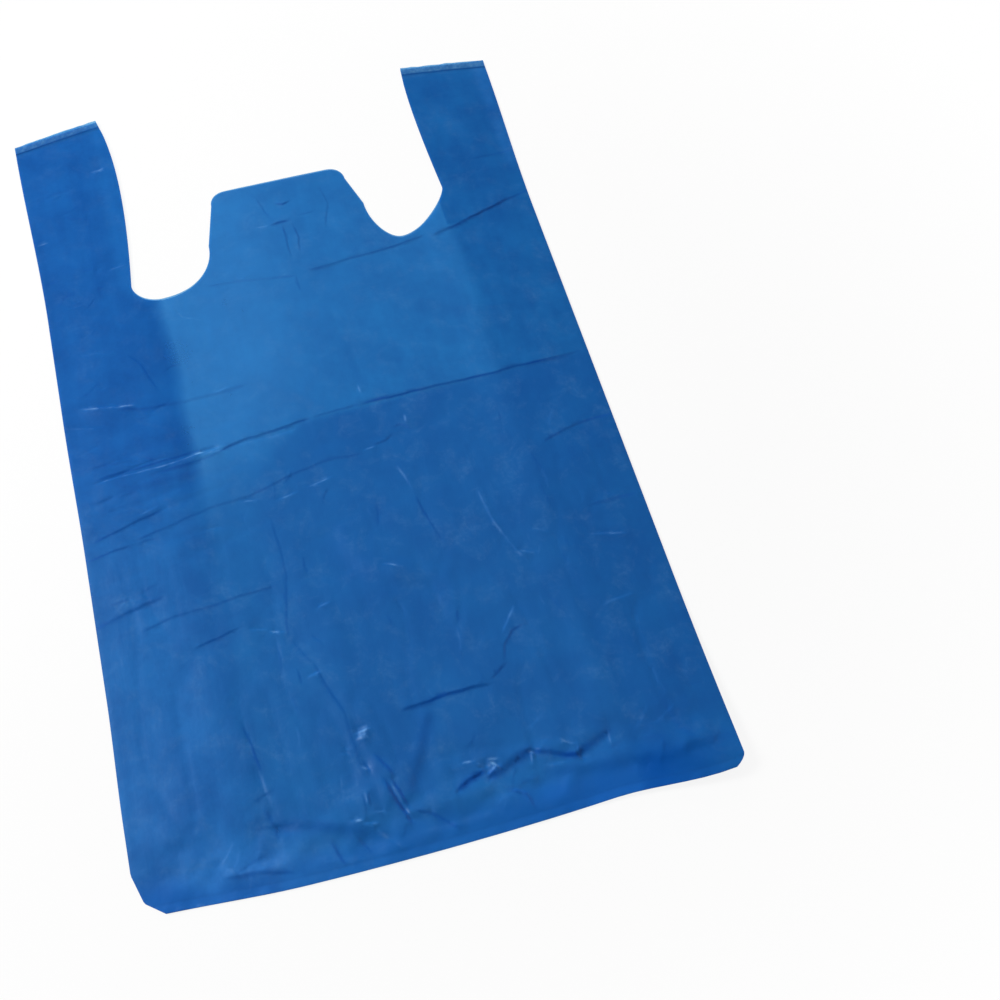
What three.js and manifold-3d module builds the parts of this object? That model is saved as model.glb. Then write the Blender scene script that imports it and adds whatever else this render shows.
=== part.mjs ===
// A thin film carrier bag with two loop handles, lying flat on a table.
// It is one piece: a tube of film folded in at both sides, welded across its bottom and its handle tops,
// with a mouth cut out between the handles.
// Millimetres, +Z up. X runs across the bag and Y from its bottom corners to its handles.

import * as THREE from 'three';
import { mergeVertices } from 'three/addons/utils/BufferGeometryUtils.js';
import Module from 'manifold-3d';

// Film tube
const BODY_WIDTH = 262; // between the two side folds
const LEFT_GUSSET = 64; // how deep the left side is folded in
const RIGHT_GUSSET = 49; // how deep the right side is folded in
const FILM = 0.4; // drawn thicker than the real film, which is about 0.02
const LAYER_GAP = 0.4; // air between two layers
const GUSSET_RAMP = 12; // over which the front panel comes down from a gusset to the back panel

// Handles and mouth, as heights above the bottom corners and widths
const LEFT_HANDLE_TOP = 446;
const RIGHT_HANDLE_TOP = 439;
const LEFT_TOP_SLANT = 8; // from the handle's inner top corner down to its outer one
const RIGHT_TOP_SLANT = 6;
const LEFT_TOP_WIDTH = 46; // of the handle at its top
const RIGHT_TOP_WIDTH = 48;
const HANDLE_WIDTH = 46; // of both handles at the foot
const LEFT_HANDLE_BELLY = 4; // by which the handle's inner edge bows towards the mouth
const RIGHT_HANDLE_BELLY = 1;
const LEFT_HANDLE_LEAN = 4; // by which the handle's top stands out past the side fold
const RIGHT_HANDLE_LEAN = 3;
const TAB_HEIGHT = 376; // the mouth's edge between the two cuts
const TAB_WIDTH = 74; // at its top
const TAB_FLARE = 6; // by which each side of the tab widens down to its cut
const TAB_CORNER = 9;
const LEFT_CUT_FLOOR = 312; // lowest point of the left cut
const LEFT_CUT_SHIFT = 8; // from half way between tab and handle, towards the handle
const RIGHT_CUT_FLOOR = 319;
const RIGHT_CUT_SHIFT = -6;
const CUT_ROUND = 28; // height of a cut's round bottom beside the tab
const LEFT_HANDLE_ROUND = 11; // and beside the handle
const RIGHT_HANDLE_ROUND = 28;
const TAB_PULL = 14; // how far a cut's curve runs on beside the tab before it turns
const HANDLE_PULL = 7.5; // and beside a handle
const DIE_MARGIN = 30; // by which the cutting die reaches past the film

// Welds
const BOTTOM_SKIRT = 4; // loose film below the bottom weld
const HANDLE_SKIRT = 4.5; // loose film above a handle's weld
const WELD_WIDTH = 1.6;
const WELD_BEAD = 0.15; // by which a weld stands proud

// How the bag lies
const CORNER_HEIGHT = 18.5; // of the left bottom corner, which is curled under
const CORNER_CURL = 12.5; // by which its side comes in
const BOTTOM_BOW = 4.5; // by which the bottom edge bows out in the middle
const BOW_REACH = 70; // height at which the bow has died out
const CORNER_LIFT = 5; // of the right bottom corner
const LIFT_REACH = 95;
const PUFF = 1.2; // air left between the panels of the lower body
const PUFF_TOP = 300;
const CRUMPLE_TOP = 80; // below this height the film is crumpled

// Packing folds that cross the front panel: heights at the two sides, sag in the middle, height of
// the ridge at the two sides, and how far the ridge reaches down and up.
const PACKING_FOLDS = [
  { left: 134, right: 134, sag: 0, ridgeLeft: 0.9, ridgeRight: 0.1, below: 5, above: 7 },
  { left: 169, right: 181, sag: -12, ridgeLeft: 1.0, ridgeRight: 0.6, below: 5, above: 7 },
  { left: 210, right: 220, sag: -4, ridgeLeft: 1.2, ridgeRight: 1.1, below: 4, above: 9 },
  { left: 308, right: 332, sag: 11, ridgeLeft: 0.1, ridgeRight: 2.0, below: 3, above: 9 },
];

// Wrinkles in the crumpled bottom: the ends of each ridge, its height and its half width
const WRINKLES = [
  { from: [-42, 160], to: [-46, 108], height: 0.9, half: 14 },
  { from: [-46, 108], to: [-14, 14], height: 1.4, half: 15 },
  { from: [-2, 60], to: [34, 61], height: 1.5, half: 13 },
  { from: [2, 18], to: [44, 27], height: 2.2, half: 13 },
  { from: [44, 27], to: [82, 19], height: 2.2, half: 13 },
  { from: [-62, 26], to: [-28, 10], height: 1.6, half: 14 },
];

// Mesh steps
const STEP_LENGTH = 17; // along the bag
const CRUMPLE_STEP = 9; // along the crumpled bottom
const BACK_STEPS = 12;
const GUSSET_STEPS = 3;
const FOLD_STEPS = 2;
const FRONT_STEPS = 22;
const WELD_STEPS = 6; // along a handle's weld
const CURVE_STEPS = 8; // along each curve of the mouth
const CORNER_LINES = [0.2, 0.5]; // shares of the curled corner at which the film has a section

const PITCH = FILM + LAYER_GAP; // from the middle of one layer to the next
const HALF_WIDTH = BODY_WIDTH / 2;
const HANDLE_FOOT = HALF_WIDTH - HANDLE_WIDTH; // inner edge of a handle, from the middle of the bag
const TUBE_TOP = Math.max(LEFT_HANDLE_TOP, RIGHT_HANDLE_TOP) + DIE_MARGIN;
const LEFT_TOP_SLOPE = LEFT_TOP_SLANT / LEFT_TOP_WIDTH;
const RIGHT_TOP_SLOPE = RIGHT_TOP_SLANT / RIGHT_TOP_WIDTH;
const BACK = 0; // layers, counted from the table up
const GUSSET_LOWER = 1;
const GUSSET_UPPER = 2;
const FRONT = 3;

const wasm = await Module();
wasm.setup();

const smooth = (value) => THREE.MathUtils.smoothstep(value, 0, 1);
const blend = THREE.MathUtils.lerp;

// Side folds: they lean out along the handles, and the left one curls under at the bottom.
function leftEdge(height) {
  const lean = LEFT_HANDLE_LEAN * smooth((height - LEFT_CUT_FLOOR) / (LEFT_HANDLE_TOP - LEFT_CUT_FLOOR));
  const curled = Math.max(0, 1 - height / CORNER_HEIGHT);
  return -HALF_WIDTH - lean + CORNER_CURL * curled ** 1.75;
}

function rightEdge(height) {
  const lean = RIGHT_HANDLE_LEAN * smooth((height - RIGHT_CUT_FLOOR) / (RIGHT_HANDLE_TOP - RIGHT_CUT_FLOOR));
  return HALF_WIDTH + lean;
}

// A line across the bag, followed by a packing fold or a step of the mesh
function lineHeight(line, x) {
  const across = THREE.MathUtils.clamp((x + HALF_WIDTH) / BODY_WIDTH, 0, 1);
  const bow = BOTTOM_BOW * Math.max(0, 1 - line.left / BOW_REACH) * (1 - (x / HALF_WIDTH) ** 2);
  return blend(line.left, line.right, across) - line.sag * 4 * across * (1 - across) - bow;
}

function tent(distance, below, above) {
  return Math.max(0, 1 - (distance < 0 ? -distance / below : distance / above));
}

function distanceToSegment(x, y, from, to) {
  const start = new THREE.Vector2(...from);
  const along = new THREE.Vector2(...to).sub(start);
  const offset = new THREE.Vector2(x, y).sub(start);
  const share = THREE.MathUtils.clamp(offset.dot(along) / along.lengthSq(), 0, 1);
  return offset.addScaledVector(along, -share).length();
}

// How far the front panel stands above the stack of layers under it
function relief(x, y) {
  let height = 0;
  for (const fold of PACKING_FOLDS) {
    const across = (x + HALF_WIDTH) / BODY_WIDTH;
    const ridge = Math.max(0, blend(fold.ridgeLeft, fold.ridgeRight, across));
    height += ridge * tent(y - lineHeight(fold, x), fold.below, fold.above);
  }
  let wrinkled = 0;
  for (const wrinkle of WRINKLES) {
    const distance = distanceToSegment(x, y, wrinkle.from, wrinkle.to);
    wrinkled = Math.max(wrinkled, wrinkle.height * (1 - distance / wrinkle.half));
  }
  const weldFade = smooth((y - BOTTOM_SKIRT - WELD_WIDTH) / CRUMPLE_STEP);
  const inside = Math.max(0, 1 - (x / HALF_WIDTH) ** 2);
  const puff = PUFF * inside * smooth((PUFF_TOP - y) / PUFF_TOP);
  return weldFade * (height + wrinkled + puff);
}

// How far the whole stack is lifted off the table
function lift(x, y) {
  const distance = Math.hypot(x - HALF_WIDTH, y);
  return CORNER_LIFT * Math.max(0, 1 - distance / LIFT_REACH) ** 2;
}

// Height of the middle of a layer. The front panel lies on the back panel between the gussets.
function layerHeight(layer, x, y, left, right) {
  let level = layer;
  if (layer === FRONT) {
    const pastLeft = (x - left - LEFT_GUSSET - PITCH) / GUSSET_RAMP;
    const pastRight = (right - RIGHT_GUSSET - PITCH - x) / GUSSET_RAMP;
    level = FRONT - (FRONT - GUSSET_LOWER) * Math.min(smooth(pastLeft), smooth(pastRight));
  }
  return FILM / 2 + level * PITCH + lift(x, y) + relief(x, y) * (layer / FRONT);
}

// The closed loop of the film's middle line where one line of the mesh crosses the bag
function sectionLoop(line) {
  const left = leftEdge(line.left);
  const right = rightEdge(line.right);
  const loop = [];
  const pointAt = (layer, x) => {
    const y = lineHeight(line, x);
    return new THREE.Vector3(x, y, layerHeight(layer, x, y, left, right));
  };
  const run = (layer, fromX, toX, steps) => {
    for (let i = 0; i <= steps; i++) {
      loop.push(pointAt(layer, blend(fromX, toX, i / steps)));
    }
  };
  const turn = (lower, upper, x, outward, upwards) => {
    const low = pointAt(lower, x);
    const high = pointAt(upper, x);
    for (let i = 1; i < FOLD_STEPS; i++) {
      const angle = (Math.PI * i) / FOLD_STEPS;
      const rise = (1 - (upwards ? 1 : -1) * Math.cos(angle)) / 2;
      const point = low.clone().lerp(high, rise);
      point.x += outward * (PITCH / 2) * Math.sin(angle);
      loop.push(point);
    }
  };
  const leftFold = left + LEFT_GUSSET;
  const rightFold = right - RIGHT_GUSSET;
  run(BACK, left, right, BACK_STEPS);
  turn(BACK, GUSSET_LOWER, right, 1, true);
  run(GUSSET_LOWER, right, rightFold, GUSSET_STEPS);
  turn(GUSSET_LOWER, GUSSET_UPPER, rightFold, -1, true);
  run(GUSSET_UPPER, rightFold, right, GUSSET_STEPS);
  turn(GUSSET_UPPER, FRONT, right, 1, true);
  run(FRONT, right, left, FRONT_STEPS);
  turn(GUSSET_UPPER, FRONT, left, -1, false);
  run(GUSSET_UPPER, left, leftFold, GUSSET_STEPS);
  turn(GUSSET_LOWER, GUSSET_UPPER, leftFold, 1, false);
  run(GUSSET_LOWER, leftFold, left, GUSSET_STEPS);
  turn(BACK, GUSSET_LOWER, left, -1, false);
  return loop;
}

// The loop moved out or in by half the film, across the section
function offsetLoop(loop, distance) {
  return loop.map((point, i) => {
    const before = loop[(i + loop.length - 1) % loop.length];
    const after = loop[(i + 1) % loop.length];
    const alongX = after.x - before.x;
    const alongZ = after.z - before.z;
    const length = Math.hypot(alongX, alongZ);
    return new THREE.Vector3(
      point.x + (distance * alongZ) / length,
      point.y,
      point.z - (distance * alongX) / length,
    );
  });
}

// Lines across the bag at which the film has a section: three on each packing fold and even steps between
function meshLines() {
  const flat = (height) => ({ left: height, right: height, sag: 0 });
  const shifted = (fold, by) => ({ left: fold.left + by, right: fold.right + by, sag: fold.sag });
  const fixed = [flat(0), flat(CRUMPLE_TOP), flat(TUBE_TOP)];
  for (const share of CORNER_LINES) {
    fixed.push(flat(share * CORNER_HEIGHT));
  }
  for (const fold of PACKING_FOLDS) {
    fixed.push(shifted(fold, -fold.below), shifted(fold, 0), shifted(fold, fold.above));
  }
  fixed.sort((line, other) => line.left - other.left);
  const lines = [fixed[0]];
  for (let i = 1; i < fixed.length; i++) {
    const [from, to] = [fixed[i - 1], fixed[i]];
    const step = to.left <= CRUMPLE_TOP ? CRUMPLE_STEP : STEP_LENGTH;
    const count = Math.max(1, Math.round((to.left - from.left) / step));
    for (let k = 1; k <= count; k++) {
      lines.push({
        left: blend(from.left, to.left, k / count),
        right: blend(from.right, to.right, k / count),
        sag: blend(from.sag, to.sag, k / count),
      });
    }
  }
  return lines;
}

// The four-sided faces between two rings of as many points, as triangles. Rising and falling faces are
// split along opposite diagonals, so that a skin and the skin behind it bend alike.
function band(ring, nextRing, rising) {
  const faces = [];
  for (let i = 0; i < ring.length; i++) {
    const j = (i + 1) % ring.length;
    const [a, b, c, d] = [ring[i], ring[j], nextRing[j], nextRing[i]];
    faces.push(...(rising ? [a, c, b, a, d, c] : [a, d, b, b, d, c]));
  }
  return faces;
}

function ringNumbers(rings) {
  return rings.map((ring, r) => ring.map((point, i) => r * ring.length + i));
}

function ringGeometry(rings, triangles) {
  const positions = rings.flat().flatMap((point) => [point.x, point.y, point.z]);
  const geometry = new THREE.BufferGeometry();
  geometry.setAttribute('position', new THREE.Float32BufferAttribute(positions, 3));
  geometry.setIndex(triangles);
  return geometry;
}

function toSolid(geometry) {
  const bare = geometry.clone();
  bare.deleteAttribute('normal');
  bare.deleteAttribute('uv');
  const merged = mergeVertices(bare);
  return new wasm.Manifold(new wasm.Mesh({
    numProp: 3,
    vertProperties: new Float32Array(merged.attributes.position.array),
    triVerts: new Uint32Array(merged.index.array),
  }));
}

// The film tube: its outer skin from the bottom up, then its inner skin back down to the start
function filmTube() {
  const loops = meshLines().map(sectionLoop);
  const outer = loops.map((loop) => offsetLoop(loop, FILM / 2));
  const inner = loops.map((loop) => offsetLoop(loop, -FILM / 2)).reverse();
  const rings = [...outer, ...inner];
  const numbers = ringNumbers(rings);
  const triangles = numbers.flatMap((ring, r) => (
    band(ring, numbers[(r + 1) % numbers.length], r < outer.length)
  ));
  return toSolid(ringGeometry(rings, triangles));
}

// A weld fuses all layers along a line: a bar from the middle of the back panel to just above the front.
// The line runs from left to right, and each of its points has a four-cornered section.
function weldBar(line, left, right) {
  const rings = line.map(([x, y]) => {
    const foot = layerHeight(BACK, x, y, left, right);
    const top = layerHeight(FRONT, x, y, left, right) + FILM / 2 + WELD_BEAD;
    return [
      new THREE.Vector3(x, y - WELD_WIDTH / 2, top),
      new THREE.Vector3(x, y + WELD_WIDTH / 2, top),
      new THREE.Vector3(x, y + WELD_WIDTH / 2, foot),
      new THREE.Vector3(x, y - WELD_WIDTH / 2, foot),
    ];
  });
  const numbers = ringNumbers(rings);
  const first = numbers[0];
  const last = numbers.at(-1);
  const triangles = [first[0], first[1], first[2], first[0], first[2], first[3]];
  triangles.push(last[0], last[2], last[1], last[0], last[3], last[2]);
  for (let r = 1; r < numbers.length; r++) {
    triangles.push(...band(numbers[r - 1], numbers[r], true));
  }
  return toSolid(ringGeometry(rings, triangles));
}

function bottomWeld() {
  const height = BOTTOM_SKIRT + WELD_WIDTH / 2;
  const left = leftEdge(height);
  const right = rightEdge(height);
  const line = [];
  for (let i = 0; i <= FRONT_STEPS; i++) {
    const x = blend(left, right, i / FRONT_STEPS);
    line.push([x, lineHeight({ left: height, right: height, sag: 0 }, x)]);
  }
  return weldBar(line, left, right);
}

// A handle's weld runs along its slanting top. It starts at the side fold and ends past the inner edge.
// side is -1 for the left handle and 1 for the right one.
function handleWeld(side, innerTop, slope, width, belly) {
  const height = innerTop - HANDLE_SKIRT;
  const left = leftEdge(height);
  const right = rightEdge(height);
  const outerX = side < 0 ? left : right;
  const line = [];
  for (let i = 0; i <= WELD_STEPS; i++) {
    const inwards = ((width + belly) * i) / WELD_STEPS;
    line.push([outerX - side * inwards, height - slope * (width - inwards)]);
  }
  return weldBar(side < 0 ? line : line.reverse(), left, right);
}

// Everything that the mouth's cutting die takes away, from one handle top to the other
function mouthDie() {
  const far = HALF_WIDTH + Math.max(LEFT_HANDLE_LEAN, RIGHT_HANDLE_LEAN) + DIE_MARGIN;
  const leftTopX = leftEdge(LEFT_HANDLE_TOP) + LEFT_TOP_WIDTH;
  const rightTopX = rightEdge(RIGHT_HANDLE_TOP) - RIGHT_TOP_WIDTH;
  const leftShoulder = LEFT_CUT_FLOOR + LEFT_HANDLE_ROUND;
  const rightShoulder = RIGHT_CUT_FLOOR + RIGHT_HANDLE_ROUND;
  const leftTabFoot = LEFT_CUT_FLOOR + CUT_ROUND;
  const rightTabFoot = RIGHT_CUT_FLOOR + CUT_ROUND;
  const tab = TAB_WIDTH / 2;
  const tabFoot = tab + TAB_FLARE;
  const leftCentre = -(tabFoot + HANDLE_FOOT) / 2 - LEFT_CUT_SHIFT;
  const rightCentre = (tabFoot + HANDLE_FOOT) / 2 + RIGHT_CUT_SHIFT;

  const die = new THREE.Shape();
  die.moveTo(-far, LEFT_HANDLE_TOP - LEFT_TOP_SLOPE * (far + leftTopX));
  die.lineTo(leftTopX, LEFT_HANDLE_TOP);
  die.quadraticCurveTo(
    (leftTopX - HANDLE_FOOT) / 2 + 2 * LEFT_HANDLE_BELLY, (LEFT_HANDLE_TOP + leftShoulder) / 2,
    -HANDLE_FOOT, leftShoulder,
  );
  die.bezierCurveTo(
    -HANDLE_FOOT, leftShoulder - HANDLE_PULL, leftCentre - HANDLE_PULL, LEFT_CUT_FLOOR,
    leftCentre, LEFT_CUT_FLOOR,
  );
  die.bezierCurveTo(
    leftCentre + TAB_PULL, LEFT_CUT_FLOOR, -tabFoot, leftTabFoot - TAB_PULL,
    -tabFoot, leftTabFoot,
  );
  die.lineTo(-tab, TAB_HEIGHT - TAB_CORNER);
  die.quadraticCurveTo(-tab, TAB_HEIGHT, -tab + TAB_CORNER, TAB_HEIGHT);
  die.lineTo(tab - TAB_CORNER, TAB_HEIGHT);
  die.quadraticCurveTo(tab, TAB_HEIGHT, tab, TAB_HEIGHT - TAB_CORNER);
  die.lineTo(tabFoot, rightTabFoot);
  die.bezierCurveTo(
    tabFoot, rightTabFoot - TAB_PULL, rightCentre - TAB_PULL / 2, RIGHT_CUT_FLOOR,
    rightCentre, RIGHT_CUT_FLOOR,
  );
  die.bezierCurveTo(
    rightCentre + HANDLE_PULL, RIGHT_CUT_FLOOR, HANDLE_FOOT, rightShoulder - HANDLE_PULL,
    HANDLE_FOOT, rightShoulder,
  );
  die.quadraticCurveTo(
    (rightTopX + HANDLE_FOOT) / 2 - 2 * RIGHT_HANDLE_BELLY, (RIGHT_HANDLE_TOP + rightShoulder) / 2,
    rightTopX, RIGHT_HANDLE_TOP,
  );
  die.lineTo(far, RIGHT_HANDLE_TOP - RIGHT_TOP_SLOPE * (far - rightTopX));
  die.lineTo(far, TUBE_TOP + DIE_MARGIN);
  die.lineTo(-far, TUBE_TOP + DIE_MARGIN);
  die.closePath();

  const reach = FRONT * PITCH + CORNER_LIFT + DIE_MARGIN;
  const geometry = new THREE.ExtrudeGeometry(die, {
    depth: 2 * reach,
    bevelEnabled: false,
    curveSegments: CURVE_STEPS,
  });
  return toSolid(geometry.translate(0, 0, -reach));
}

function toGeometry(solid) {
  const mesh = solid.getMesh();
  const geometry = new THREE.BufferGeometry();
  geometry.setAttribute('position', new THREE.Float32BufferAttribute(mesh.vertProperties, 3));
  geometry.setIndex(Array.from(mesh.triVerts));
  return geometry;
}

function bagFilm() {
  const welded = filmTube()
    .add(bottomWeld())
    .add(handleWeld(-1, LEFT_HANDLE_TOP, LEFT_TOP_SLOPE, LEFT_TOP_WIDTH, LEFT_HANDLE_BELLY))
    .add(handleWeld(1, RIGHT_HANDLE_TOP, RIGHT_TOP_SLOPE, RIGHT_TOP_WIDTH, RIGHT_HANDLE_BELLY));
  const geometry = toGeometry(welded.subtract(mouthDie()));
  geometry.computeBoundingBox();
  const middle = geometry.boundingBox.getCenter(new THREE.Vector3());
  geometry.translate(-middle.x, -middle.y, -geometry.boundingBox.min.z);
  geometry.computeVertexNormals();
  return geometry;
}

const bag = new THREE.Group();
const film = new THREE.Mesh(
  bagFilm(),
  new THREE.MeshStandardMaterial({ color: 0x2062aa, roughness: 0.45, metalness: 0 }),
);
film.name = 'bag_film';
bag.add(film);

export default bag;
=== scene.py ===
import math

import bmesh
import bpy
import numpy as np
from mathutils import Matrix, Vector, geometry, noise


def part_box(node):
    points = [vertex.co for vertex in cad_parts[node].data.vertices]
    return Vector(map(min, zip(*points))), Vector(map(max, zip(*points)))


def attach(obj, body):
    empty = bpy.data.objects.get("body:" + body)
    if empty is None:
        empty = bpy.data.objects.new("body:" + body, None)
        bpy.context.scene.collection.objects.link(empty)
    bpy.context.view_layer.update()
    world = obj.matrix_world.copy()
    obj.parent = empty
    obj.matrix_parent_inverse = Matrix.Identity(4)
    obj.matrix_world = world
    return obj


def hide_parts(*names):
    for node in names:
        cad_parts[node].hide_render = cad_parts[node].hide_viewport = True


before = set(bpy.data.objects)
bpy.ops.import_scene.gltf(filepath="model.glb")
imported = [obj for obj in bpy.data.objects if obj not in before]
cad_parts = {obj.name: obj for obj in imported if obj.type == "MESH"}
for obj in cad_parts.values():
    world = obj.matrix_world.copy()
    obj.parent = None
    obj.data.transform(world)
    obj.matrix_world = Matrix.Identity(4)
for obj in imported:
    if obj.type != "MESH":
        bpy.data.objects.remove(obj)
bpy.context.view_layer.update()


# The bag
# One piece of thin blue polyethylene film, blown as a tube, folded in at both sides, welded across the
# bottom and the two handle tops, and die-cut at the mouth. It lies flat, with the creases of its packing.

MM = 0.001

# Sizes in millimetres. X runs from the middle of the bag and Y up from its bottom corners.
HALF_WIDTH = 131
LEFT_LEAN = 4  # by which a handle's top stands out past the side fold
RIGHT_LEAN = 3
LEFT_TOP = 446  # inner corners of the handle tops
RIGHT_TOP = 439
LEFT_SLANT = 8  # by which a handle's top falls towards the side
RIGHT_SLANT = 6
LEFT_TOP_WIDTH = 46
RIGHT_TOP_WIDTH = 48
LEFT_HANDLE_WIDTH = 44.5  # at a handle's foot
RIGHT_HANDLE_WIDTH = 44
LEFT_BELLY = 4.7  # by which a handle's inner edge bulges towards the middle
RIGHT_BELLY = 1.7
BELLY_PLACE = 0.69  # share of a handle's height at which it bulges
TAB_TOP = 376
TAB_HALF = 37  # half the tab's width at its top
TAB_FLARE = 6  # by which its foot is wider on each side
TAB_CORNER = 9  # size of its round corners
LEFT_FLOOR = Vector((-72, 312))  # lowest points of the two cuts of the mouth
RIGHT_FLOOR = Vector((58, 319))
CUT_ROUND = 28  # height of a cut's round end
LEFT_FOOT = 13  # and on the side of the left handle
LEFT_HANDLE_LEAD = 7  # by which a cut's floor runs on flat towards its handle
RIGHT_HANDLE_LEAD = 12
LEFT_TAB_LEAD = CUT_ROUND * 2 / 3  # and towards the tab
RIGHT_TAB_LEAD = CUT_ROUND / 4
HANDLE_DROP = 7.5  # by which a handle's edge runs on straight into the round
TAB_DROP = CUT_ROUND / 2
CORNER_HEIGHT = 19  # the blunt left corner: where it starts, its bend, and its inset at the bottom
CORNER_KNEE = Vector((3.7, 6.1))
CORNER_INSET = 11.7
LEFT_WAIST = 0.9  # inset of the left side in its lower half
RIGHT_CORNER = 5  # height and inset of the round right corner
BOTTOM_BOW = 4.5  # by which the bottom edge sags between its corners
LEFT_RISE = 1.7  # by which it rises at the left corner
RIGHT_DROOP = 5  # by which it droops at the right corner
BOW_REACH = 70  # height from which the rows of the mesh are straight
LEFT_FOLD = -69  # inner folds of the two gussets
RIGHT_FOLD = 83
BOTTOM_SKIRT = 4  # from a weld to the film's end
HANDLE_SKIRT = 5
SOLID_MARGIN = 0.55  # by which the solid film reaches out past the left handle

low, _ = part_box("bag_film")
BAG_MIDDLE = low.x + (HALF_WIDTH + LEFT_LEAN + SOLID_MARGIN) * MM
BAG_BOTTOM = low.y + BOTTOM_BOW * MM


def ramp(value, start, end):
    """A smooth rise from 0 at start to 1 at end."""
    share = np.clip((value - start) / (end - start), 0.0, 1.0)
    return share * share * (3 - 2 * share)


# Edges of the film, each a list of points from the bottom up

def left_side(y):
    lean = LEFT_LEAN * float(ramp(y, LEFT_FLOOR.y, LEFT_TOP))
    waist = LEFT_WAIST * float(ramp(y, 40, 100) * ramp(y, 250, 170))
    inset = float(np.interp(y, [0, CORNER_KNEE.y, CORNER_HEIGHT], [CORNER_INSET, CORNER_KNEE.x, 0]))
    return Vector((-HALF_WIDTH - lean + waist + inset, y))


def right_side(y):
    lean = RIGHT_LEAN * float(ramp(y, RIGHT_FLOOR.y, RIGHT_TOP))
    inset = RIGHT_CORNER * max(0.0, 1 - y / RIGHT_CORNER) ** 2
    return Vector((HALF_WIDTH + lean - inset, y))


def cut_height(x):
    """Height of the line through the lowest points of both cuts, above which the film has gaps."""
    slope = (RIGHT_FLOOR.y - LEFT_FLOOR.y) / (RIGHT_FLOOR.x - LEFT_FLOOR.x)
    return LEFT_FLOOR.y + slope * (x - LEFT_FLOOR.x)


def bezier(start, pull, push, end, steps):
    return [Vector(p) for p in geometry.interpolate_bezier(start, pull, push, end, steps + 1)]


ROUND_ROWS = 24
HANDLE_ROWS = 64
SKIRT_ROWS = 8
TAB_ROWS = 18
TAB_CORNER_ROWS = 8


def cut_round(floor, shoulder, low_lead, high_lead):
    """A quarter of a cut, from its lowest point to its straight side."""
    low_pull = Vector((floor.x + low_lead, floor.y))
    high_pull = Vector((shoulder.x, shoulder.y - high_lead))
    return bezier(floor, low_pull, high_pull, shoulder, ROUND_ROWS)


def handle_inner_edge(floor, side, foot, width, corner, belly, lead):
    """From the lowest point of a cut up to the corner of its handle, with finer rows about the weld."""
    shoulder = Vector((side * (HALF_WIDTH - width), floor.y + foot))
    middle_x = (shoulder.x + corner.x) / 2
    bow = Vector((middle_x - side * 2 * belly, shoulder.lerp(corner, BELLY_PLACE).y))
    curve = bezier(shoulder, shoulder.lerp(bow, 2 / 3), corner.lerp(bow, 2 / 3), corner, HANDLE_ROWS)
    skirt = [p for p in curve if p.y > corner.y - 2 * HANDLE_SKIRT]
    start = curve[len(curve) - len(skirt) - 1]
    finer = [start.lerp(corner, i / (2 * SKIRT_ROWS)) for i in range(1, 2 * SKIRT_ROWS + 1)]
    turn = cut_round(floor, shoulder, side * lead, HANDLE_DROP)
    return turn + curve[1:len(curve) - len(skirt)] + finer


def handle_outer_edge(inner_edge, edge, start, end):
    """The side fold beside a handle, with a point for each point of the inner edge."""
    first, last = inner_edge[0].y, inner_edge[-1].y
    return [edge(start + (end - start) * (p.y - first) / (last - first)) for p in inner_edge]


def tab_edge(floor, side, lead):
    """From the lowest point of a cut up the side of the tab and round its corner."""
    shoulder = Vector((side * (TAB_HALF + TAB_FLARE), floor.y + CUT_ROUND))
    corner = Vector((side * TAB_HALF, TAB_TOP - TAB_CORNER))
    tip = Vector((side * TAB_HALF, TAB_TOP))
    end = Vector((side * (TAB_HALF - TAB_CORNER), TAB_TOP))
    straight = [shoulder.lerp(corner, i / TAB_ROWS) for i in range(1, TAB_ROWS + 1)]
    turn = bezier(corner, corner.lerp(tip, 0.6), end.lerp(tip, 0.6), end, TAB_CORNER_ROWS)
    return cut_round(floor, shoulder, -side * lead, TAB_DROP) + straight + turn[1:]


left_corner = Vector((left_side(LEFT_TOP).x + LEFT_TOP_WIDTH, LEFT_TOP))
right_corner = Vector((right_side(RIGHT_TOP).x - RIGHT_TOP_WIDTH, RIGHT_TOP))
left_inner = handle_inner_edge(
    LEFT_FLOOR, -1, LEFT_FOOT, LEFT_HANDLE_WIDTH, left_corner, LEFT_BELLY, LEFT_HANDLE_LEAD,
)
right_inner = handle_inner_edge(
    RIGHT_FLOOR, 1, CUT_ROUND, RIGHT_HANDLE_WIDTH, right_corner, RIGHT_BELLY, RIGHT_HANDLE_LEAD,
)
left_outer = handle_outer_edge(left_inner, left_side, cut_height(-HALF_WIDTH), LEFT_TOP - LEFT_SLANT)
right_outer = handle_outer_edge(right_inner, right_side, cut_height(HALF_WIDTH), RIGHT_TOP - RIGHT_SLANT)
left_tab = tab_edge(LEFT_FLOOR, -1, LEFT_TAB_LEAD)
right_tab = tab_edge(RIGHT_FLOOR, 1, RIGHT_TAB_LEAD)

SKIRT_STEPS = [0, 0.5, 1.2, 2, 3, 3.6, 4.0, 4.4, 5.0, 5.8]  # finer rows about the bottom weld
BODY_START = 7  # the first of the even rows above them
BODY_ROWS = 188
body_rows = SKIRT_STEPS + list(np.linspace(BODY_START, cut_height(-HALF_WIDTH), BODY_ROWS))
left_body = [left_side(row) for row in body_rows]
right_body = [right_side(row * cut_height(HALF_WIDTH) / cut_height(-HALF_WIDTH)) for row in body_rows]
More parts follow.
